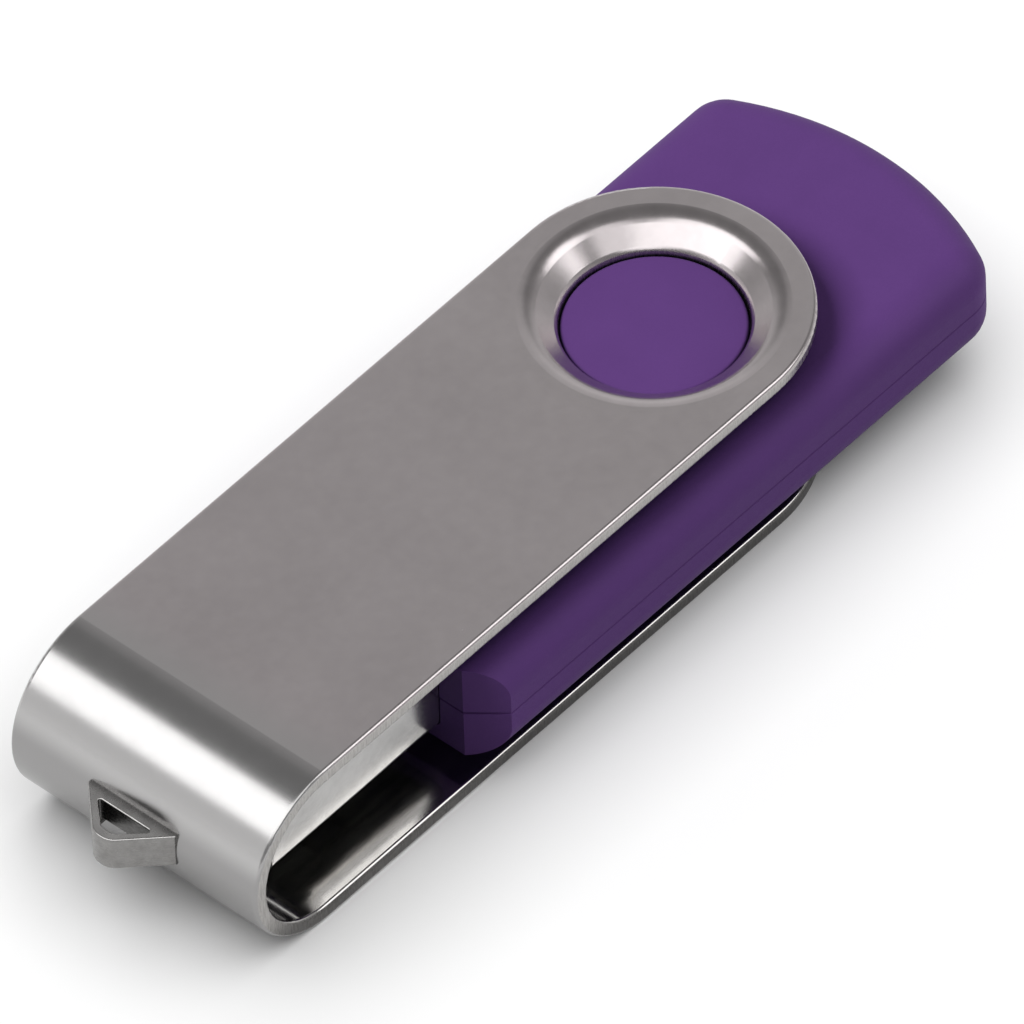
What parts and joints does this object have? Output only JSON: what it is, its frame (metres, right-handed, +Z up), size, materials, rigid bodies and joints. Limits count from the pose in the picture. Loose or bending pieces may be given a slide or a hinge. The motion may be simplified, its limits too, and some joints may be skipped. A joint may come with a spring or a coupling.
{
  "type": "usb flash drive",
  "caption": "USB flash drive whose plastic body swivels inside a folded metal clip that covers the plug, with a lanyard eye on the fold.",
  "frame": {"origin": "middle of the bottom of the closed drive's bounding box, on the surface that it lies on", "axes": "+X along the drive towards the free end of the plastic body, the clip's fold and lanyard eye at -X; +Z up, parallel to the swivel axis"},
  "size_m": [0.0598, 0.019, 0.0107],
  "materials": {
    "clip_metal": "satin",
    "body_plastic": "soft-touch matt purple",
    "plug_metal": "nickel-plated, semi-bright",
    "insulator_plastic": "black moulded",
    "gold_plate": "gold-plated",
    "board_laminate": "green solder mask",
    "package_plastic": "black moulded epoxy",
    "tinned_metal": "tinned",
    "capacitor_ceramic": "fired ceramic",
    "resistor_ceramic": "glazed black",
    "crystal_ceramic": "fired ceramic",
    "crystal_metal": "gold-nickel lid"
  },
  "bodies": {
    "drive": {"upper_shell": "body_plastic", "lower_shell": "body_plastic", "connector_shell": "plug_metal", "connector_insulator": "insulator_plastic", "contact_vbus": "gold_plate", "contact_data_minus": "gold_plate", "contact_data_plus": "gold_plate", "contact_ground": "gold_plate", "circuit_board": "board_laminate", "board_pads": "gold_plate", "flash_package": "package_plastic", "flash_leads": "tinned_metal", "controller_package": "package_plastic", "controller_leads": "tinned_metal", "crystal_base": "crystal_ceramic", "crystal_lid": "crystal_metal", "capacitor_bodies": "capacitor_ceramic", "capacitor_terminals": "tinned_metal", "resistor_bodies": "resistor_ceramic", "resistor_terminals": "tinned_metal", "contact_solder": "tinned_metal", "shell_solder": "tinned_metal"},
    "clip": {"swivel_clip": "clip_metal", "lanyard_loop": "clip_metal"}
  },
  "joints": [
    {"name": "swivel", "type": "hinge", "parent": "drive", "child": "clip", "pos_m": [0.01221, 0, 0.00535], "axis": [0, 0, 1], "continuous": true}
  ]
}
